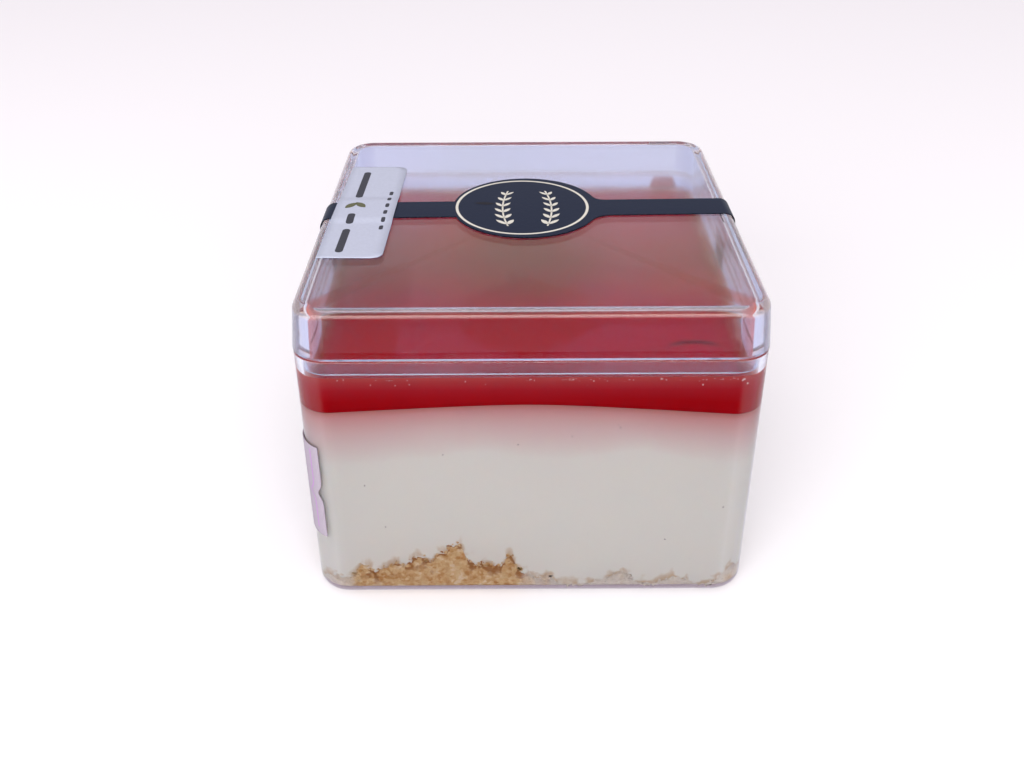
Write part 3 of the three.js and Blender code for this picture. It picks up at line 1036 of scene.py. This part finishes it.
def make_grains():
    draw = random.Random(GRAIN_SEED)
    places = []
    for side in range(4):
        for _ in range(GRAINS_PER_WALL):
            along = draw.uniform(-1, 1) * (CUP_INNER - 2)
            radius = draw.uniform(0, 1) ** 2 * (GRAIN_RADIUS[1] - GRAIN_RADIUS[0]) + GRAIN_RADIUS[0]
            inset = draw.uniform(0, 0.8 * radius)
            at = wall_point(side, along, inset, 0)
            top = crumb_top(at.x, at.y)
            deep = min(1, max(0, (top - CRUMB_Z) / CRUMB_FULL_DEPTH))
            z = top + draw.uniform(-GRAIN_BELOW, GRAIN_ABOVE + GRAIN_ABOVE_HEAPS * deep)
            z = max(z, FLOOR + radius)
            places.append((wall_point(side, along, inset + foot_inset(z), z), radius))
    points, faces = lumps(places, GRAIN_SINK, GRAIN_ROUGH, draw)
    grains = make_object("loose_crumbs", points, faces, CRUMB)
    depths = [draw.uniform(*GRAIN_DEPTHS) for _ in places]
    per_grain = len(points) // len(places)
    depth_of_point = (depth for depth in depths for _ in range(per_grain))
    add_values(grains, "depth", points, lambda x, y, z: next(depth_of_point))
    add_values(grains, "veil", points, crumb_veil)


def between(low_at, high_at, overlap):
    """Height at a share of the way from just under one surface to another."""

    def height_at(x, y, share):
        low = low_at(x, y) - overlap
        return low + (high_at(x, y) - low) * share

    return height_at


def make_cream():
    wall = CUP_INNER + CREAM_SINK
    under = [(0, 0)] + [(wall - inset, 0) for inset in reversed(WALL_INSETS)]
    sides = [(wall, share) for share in (0.002, 0.01, 0.03, 0.07, 0.15, 0.3, 0.5, 0.7, 0.85, 0.95)]
    over = [(wall - inset, 1) for inset in (0, 2, 6, 12, 20, 30)] + [(0, 1)]
    height_at = between(crumb_top, cream_top, CREAM_OVERLAP)
    points, faces = square_sweep(under + sides + over, CRUMB_STEPS, height_at)
    cream = make_object("cream_layer", points, faces, CREAM)
    add_values(cream, "below_jelly", points, lambda x, y, z: cream_top(x, y) - z)
    add_values(cream, "above_crumb", points, lambda x, y, z: z - crumb_top(x, y))
    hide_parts("cream")


def make_jelly():
    wall = CUP_INNER + JELLY_SINK
    under = [(0, 0)] + [(wall - inset, 0) for inset in (30, 20, 12, 6, 2, 0)]
    sides = [(wall, share) for share in (0.02, 0.3, 0.6, 0.8, 0.9, 0.98)]
    over = [(wall - inset, 1) for inset in (0, 0.15, 0.3, 0.7, 1.2, 2, 3, 4, 5, 6, 12)] + [(0, 1)]
    height_at = between(cream_top, jelly_top, JELLY_OVERLAP)
    points, faces = square_sweep(under + sides + over, JELLY_STEPS, height_at)
    jelly = make_object("jelly_layer", points, faces, JELLY)
    add_values(jelly, "haze_and_light", points, jelly_haze_and_light)
    add_values(jelly, "edge", points, jelly_edge)
    # Faces against the wall take the darker copy, painted shade
    jelly.data.materials.append(SHADED_JELLY_AT_WALL)
    for face in jelly.data.polygons:
        face.material_index = int(abs(face.normal.z) < JELLY_SIDE_SLOPE)
    weigh_normals(jelly)
    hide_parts("jelly")


def make_bubbles():
    draw = random.Random(BUBBLE_SEED)
    places = []
    for middle, reach, count in BUBBLE_CLUSTERS:
        for _ in range(count):
            along = draw.gauss(middle, reach / 2)
            down = abs(draw.gauss(0.05, 0.3))
            places.append((0, along, down, draw.uniform(*BUBBLE_RADIUS)))
    for side in range(4):
        for _ in range(BUBBLES_PER_WALL):
            along = draw.uniform(-1, 1) * (CUP_INNER - 3)
            places.append((side, along, abs(draw.gauss(0.3, 0.8)), draw.uniform(*BUBBLE_RADIUS)))
    spots = [
        (wall_point(side, along, radius * 0.6, JELLY_TOP - down), radius)
        for side, along, down, radius in places
    ]
    bubbles = make_object("bubbles", *lumps(spots, BUBBLE_SINK, BUBBLE_ROUGH, draw), BUBBLE)


def make_specks():
    draw = random.Random(SPECK_SEED)
    spots = [(wall_point(0, x, SPECK_INSET, z), radius) for x, z, radius in CREAM_SPECKS]
    for side in range(1, 4):
        for _ in range(SPECKS_PER_WALL):
            along = draw.uniform(-1, 1) * (CUP_INNER - 6)
            spot = wall_point(side, along, SPECK_INSET, draw.uniform(*SPECK_Z))
            spots.append((spot, draw.uniform(*SPECK_RADIUS)))
    specks = make_object("cream_specks", *lumps(spots, SPECK_SINK, SPECK_ROUGH, draw), SPECK)


def make_splash():
    low, high = SPLASH_Z
    rows = []
    for i in range(SPLASH_STEPS + 1):
        share = i / SPLASH_STEPS
        z = low + (high - low) * share
        widened = SPLASH_FOOT_WIDENED * (1 - share) ** 2
        narrowed = SPLASH_TOP_NARROWED * max(0, 4 * share - 3) ** 2
        ragged = SPLASH_RAGGED * noise.noise(Vector((z * 1.7, 3, 0)))
        inward = narrowed - widened
        rows.append((z, SPLASH_X[0] + inward + ragged, SPLASH_X[1] - inward + ragged))
    middle = sum(SPLASH_X) / 2
    reach = SPLASH_X[1] - middle + SPLASH_THIN_EDGE

    def on_plug(x, z):
        across = min(1, abs(x - middle) / reach)
        up = abs(2 * (z - low) / (high - low) - 1)
        bulge = SPLASH_THICKNESS * math.sqrt(1 - across**2) * (1 - 0.6 * up**2)
        return x, PLUG_INNER - SPLASH_GAP - bulge, z

    splash = make_object("jelly_splash", *patch(rows, on_plug, SPLASH_STEPS), SPLASH)


# Seal and labels


def band_edge(x, side):
    """Height in the plan of the band's lower (-1) or upper (1) edge."""
    return BAND_Y + BAND_SLOPE * x + side * BAND_WIDTH / 2


def lid_side():
    """The seal's way from the lid's flat over its edge and down the side, past the seam."""
    radius = LID_EDGE_RADIUS + PAPER_LIFT
    return [
        *arc(LID_TOP_HALF - LID_EDGE_RADIUS, HEIGHT - LID_EDGE_RADIUS, radius, 90, 0),
        (LID_RIM_HALF + PAPER_LIFT, LID_RIM_Z),
        (CUP_HALF + PAPER_LIFT, LID_RIM_Z - SEAL_SEAM_DROP),
        (CUP_HALF + PAPER_LIFT, SEAL_END_Z),
    ]


def seal_outline(flat):
    """Outline of the seal's flat part, and the number of its point where the left arm ends."""
    right = []
    for side, radius in zip((-1, 1), FLARE_RADII):
        edge = band_edge(DISC_RADIUS, side) - DISC_AT.y
        centre_y = edge + side * radius
        centre_x = math.sqrt((DISC_RADIUS + radius) ** 2 - centre_y**2)
        centre = DISC_AT + Vector((centre_x, centre_y))
        to_disc = math.atan2(-centre_y, -centre_x)
        flare = arc_points(centre, radius, -side * math.pi / 2, to_disc, ARC_STEPS)
        right.append((flare, math.atan2(centre_y, centre_x)))
    (lower, lower_angle), (upper, upper_angle) = right
    left_upper, left_lower = (
        math.pi - math.asin((band_edge(-DISC_RADIUS, side) - DISC_AT.y) / DISC_RADIUS)
        for side in (1, -1)
    )
    top_arc = arc_points(DISC_AT, DISC_RADIUS, upper_angle, left_upper, DISC_STEPS)
    low_arc = arc_points(DISC_AT, DISC_RADIUS, left_lower, 2 * math.pi + lower_angle, DISC_STEPS)
    over = [
        Vector((flat, band_edge(flat, -1))),
        Vector((flat, band_edge(flat, 1))),
        *upper,
        *top_arc[1:],
    ]
    under = [
        Vector((-flat, band_edge(-flat, 1))),
        Vector((-flat, band_edge(-flat, -1))),
        *low_arc[:-1],
        *reversed(lower),
    ]
    return over + under, len(over)


def make_seal():
    side = lid_side()
    flat = side[0][0]
    outline, left = seal_outline(flat)
    points = [(at.x, at.y, PAPER_TOP_Z) for at in outline]
    faces = [tuple(range(len(points)))]
    for sign, first, second in ((1, 0, 1), (-1, left, left + 1)):
        previous = (first, second)
        for half, z in side[1:]:
            x = sign * half
            for edge in (-sign, sign):
                points.append((x, band_edge(x, edge), z))
            current = (len(points) - 2, len(points) - 1)
            faces.append((previous[1], previous[0], current[0], current[1]))
            previous = current
    seal = make_object("seal", points, faces, NAVY)
    give_thickness(seal)
    weigh_normals(seal)
    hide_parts("seal_sticker")


def sprig(side):
    """A bowed stem with leaves in pairs, on the seal's left (-1) or right (1) half."""
    middle_x = SPRIG_X[side > 0]

    def on_seal(across, along):
        bow = side * SPRIG_BOW * (1 - (2 * along / SPRIG_LENGTH) ** 2)
        return middle_x + across + bow, SPRIG_Y + along, PAPER_TOP_Z + PRINT_LIFT

    shapes = [patch(bar_rows(SPRIG_LENGTH, SPRIG_STEM), on_seal, 2)]
    width, length = SPRIG_LEAF
    for i in range(SPRIG_LEAVES):
        along = SPRIG_LENGTH * ((i + 0.75) / SPRIG_LEAVES - 0.5)
        size = 1 - SPRIG_TAPER * i / SPRIG_LEAVES
        for hand in (-1, 1):
            out = math.radians(SPRIG_LEAF_TURN)
            reach = size * length / 2
            at = (hand * math.sin(out) * reach, along + math.cos(out) * reach - length / 2)
            surface = placed(on_seal, at, -hand * SPRIG_LEAF_TURN)
            shapes.append(patch(leaf_rows(length * size, width * size), surface, 4))
    return joined(shapes)


def make_seal_print():
    points = []
    for radius in (RING_RADIUS - RING_WIDTH / 2, RING_RADIUS + RING_WIDTH / 2):
        for at in arc_points(RING_AT, radius, 0, 2 * math.pi, RING_STEPS)[:-1]:
            points.append((at.x, at.y, PAPER_TOP_Z + PRINT_LIFT))
    faces = []
    for i in range(RING_STEPS):
        j = (i + 1) % RING_STEPS
        faces.append((i, RING_STEPS + i, RING_STEPS + j, j))
    shapes = [(points, faces), sprig(-1), sprig(1)]
    seal_print = make_object("seal_print", *joined(shapes), IVORY)


def make_seal_crease():
    # A flat near-black sheet on the seal: painted shade of the crease
    surface = placed(lambda x, y: (x, y, PAPER_TOP_Z + PRINT_LIFT), CREASE_AT, CREASE_TURN)
    crease = make_object("seal_crease_shade", *patch(leaf_rows(*CREASE_SIZE), surface, 4), CREASE_SHADE)


def smooth_step(low, high, value):
    share = min(1, max(0, (value - low) / (high - low)))
    return share * share * (3 - 2 * share)


def top_label_point(across, along, lift=0.0):
    """Point on the lid label's upper face, from its own middle."""
    at = Matrix.Rotation(math.radians(TOP_LABEL_TURN), 2) @ Vector((across, along)) + TOP_LABEL_AT
    away = abs(at.y - BAND_Y - BAND_SLOPE * at.x) - BAND_WIDTH / 2
    rise = DRAPE_RISE * (1 - smooth_step(*DRAPE_EASE, away))
    return at.x, at.y, PAPER_TOP_Z + rise + lift


def make_top_label():
    width, length = TOP_LABEL_SIZE
    rows = []
    for i in range(TOP_LABEL_STEPS + 1):
        along = length * (i / TOP_LABEL_STEPS - 0.5)
        into = max(0, TOP_LABEL_CORNER - (length / 2 - abs(along)))
        inset = TOP_LABEL_CORNER - math.sqrt(TOP_LABEL_CORNER**2 - into**2)
        rows.append((along, -width / 2, width / 2 - inset))
    label = make_object("lid_label", *patch(rows, top_label_point, 6), WHITE)
    give_thickness(label)
    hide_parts("top_label")


def make_top_label_print():
    def on_label(across, along):
        return top_label_point(across, along, PRINT_LIFT)

    shapes = []
    for across, start, end in TITLE_BARS:
        surface = placed(on_label, (across, (start + end) / 2))
        shapes.append(patch(bar_rows(end - start, TITLE_WIDTH, 40), surface, 4))
    for i in range(DASH_COUNT):
        surface = placed(on_label, (DASH_ACROSS, DASH_FIRST + DASH_STEP * i + DASH_LENGTH / 2))
        shapes.append(patch(bar_rows(DASH_LENGTH, DASH_WIDTH), surface, 2))
    label_print = make_object("lid_label_print", *joined(shapes), GREY_INK)
    width, length = MARK_LEAF
    leaves = [
        patch(leaf_rows(length, width), placed(on_label, at, turn), 4) for at, turn in MARK_LEAVES
    ]
    mark = make_object("lid_label_mark", *joined(leaves), OLIVE_INK)


def left_corner_point(along, z, lift):
    """Point off the left wall, forward from the front corner's start and round it, or back."""
    flat = CUP_HALF - CORNER_RADIUS
    if along <= 0:
        return -CUP_HALF - lift, -flat - along, z
    angle = along / CORNER_RADIUS
    radius = CORNER_RADIUS + lift
    return -flat - radius * math.cos(angle), -flat - radius * math.sin(angle), z


def side_label_reach(z):
    """How far round the corner the label reaches at a height, with a notch in its edge."""
    pinch = math.exp(-(((z - SIDE_LABEL_PINCH_Z) / SIDE_LABEL_PINCH_SPREAD) ** 2))
    return SIDE_LABEL_REACH - SIDE_LABEL_PINCH * pinch


def heights(low, high, steps):
    return [low + (high - low) * i / steps for i in range(steps + 1)]


def make_side_label():
    rows = [(z, -SIDE_LABEL_BACK, side_label_reach(z)) for z in heights(*SIDE_LABEL_Z, 80)]
    points, faces = patch(rows, lambda along, z: left_corner_point(along, z, PAPER_LIFT), 60)
    label = make_object("wall_label", points, faces, SHADED_WHITE)
    give_thickness(label)
    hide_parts("side_label")


def make_side_label_print():
    def on_wall(along, z):
        return left_corner_point(along, z, PAPER_LIFT + PRINT_LIFT)

    rows = []
    for z in heights(*LINE_Z, 60):
        middle = side_label_reach(z) - LINE_FROM_EDGE
        rows.append((z, middle - LINE_WIDTH / 2, middle + LINE_WIDTH / 2))
    line = make_object("wall_label_line", *patch(rows, on_wall, 2), PURPLE_INK)
    shapes = []
    for z, start, end in WALL_BARS:
        surface = placed(on_wall, (-(start + end) / 2, z), 90)
        shapes.append(patch(bar_rows(end - start, WALL_BAR_WIDTH), surface, 2))
    bars = make_object("wall_label_print", *joined(shapes), GREY_INK)


# Setting


def make_floor():
    bpy.ops.mesh.primitive_plane_add(size=STUDIO_FLOOR_SIZE)
    floor = bpy.context.object
    floor.name = "floor"
    floor.data.materials.append(
        new_material("floor", base_color=rgb(247, 247, 249), roughness=0.9)[0]
    )
    floor.visible_glossy = False


def sky_patches(tree, way):
    """Soft uneven patches over the sky."""
    made = add_node(tree, "TexNoise", {"Vector": way, "Scale": 7, "Detail": 2})
    return spread(tree, made.outputs["Fac"], 0.35, 0.65)


def make_world():
    world = bpy.data.worlds.new("studio")
    world.use_nodes = True
    bpy.context.scene.world = world
    tree = world.node_tree
    way = add_node(tree, "TexCoord").outputs["Generated"]
    height = add_node(tree, "SeparateXYZ", {"Vector": way}).outputs["Z"]
    share = maths(tree, "MULTIPLY_ADD", height, 0.5, 0.5)
    sky = ramp(tree, share, SKY_TONES)
    patches = sky_patches(tree, way)
    warm = mix_colour(tree, 1.0, sky, (0.94, 0.95, 0.86, 1), "MULTIPLY")
    cool = mix_colour(tree, 1.0, sky, (1.06, 1.02, 1.14, 1), "MULTIPLY")
    sky = mix_colour(tree, patches, cool, warm)
    drop = math.radians(DARK_PATCH_DROP)
    directions = {0: way, 1: (0, -math.cos(drop), -math.sin(drop))}
    nearness = add_node(tree, "VectorMath", directions, operation="DOT_PRODUCT").outputs["Value"]
    dark = spread(tree, nearness, 0.78, 0.93)
    colour = mix_colour(tree, dark, sky, (0.01, 0.01, 0.012, 1))
    background = tree.nodes["Background"]
    tree.links.new(colour, background.inputs["Color"])


def make_softbox():
    light = bpy.data.lights.new("front softbox", "AREA")
    light.shape = "RECTANGLE"
    light.size, light.size_y = SOFTBOX_SIZE
    light.energy = SOFTBOX_POWER
    lamp = bpy.data.objects.new("front softbox", light)
    bpy.context.scene.collection.objects.link(lamp)
    lamp.location = SOFTBOX_AT
    lamp.rotation_euler = (SOFTBOX_TARGET - SOFTBOX_AT).to_track_quat("-Z", "Y").to_euler()


def make_camera():
    camera = bpy.data.cameras.new("camera")
    camera.sensor_width = SENSOR
    camera.lens = FOCAL_PIXELS * SENSOR / IMAGE_WIDTH
    camera.shift_y = -AXIS_PIXELS_ABOVE_MIDDLE / IMAGE_WIDTH
    camera.clip_start = 0.01
    viewer = bpy.data.objects.new("camera", camera)
    bpy.context.scene.collection.objects.link(viewer)
    stand = Matrix.Translation(CAMERA_AT * MM)
    for angle, axis in ((-CAMERA_YAW, "Z"), (90 - CAMERA_PITCH, "X"), (CAMERA_ROLL, "Z")):
        stand = stand @ Matrix.Rotation(math.radians(angle), 4, axis)
    viewer.matrix_world = stand
    bpy.context.scene.camera = viewer


def set_render_look():
    scene = bpy.context.scene
    scene.view_settings.view_transform = "Standard"
    scene.cycles.max_bounces = CLEAR_BOUNCES
    scene.cycles.transmission_bounces = CLEAR_BOUNCES
    scene.cycles.glossy_bounces = CLEAR_BOUNCES
    scene.cycles.diffuse_bounces = DIFFUSE_BOUNCES


make_camera()
make_cup()
make_lid()
make_crumb()
make_grains()
make_cream()
make_jelly()
make_bubbles()
make_specks()
make_splash()
make_seal()
make_seal_print()
make_seal_crease()
make_top_label()
make_top_label_print()
make_side_label()
make_side_label_print()
make_floor()
make_world()
make_softbox()
set_render_look()
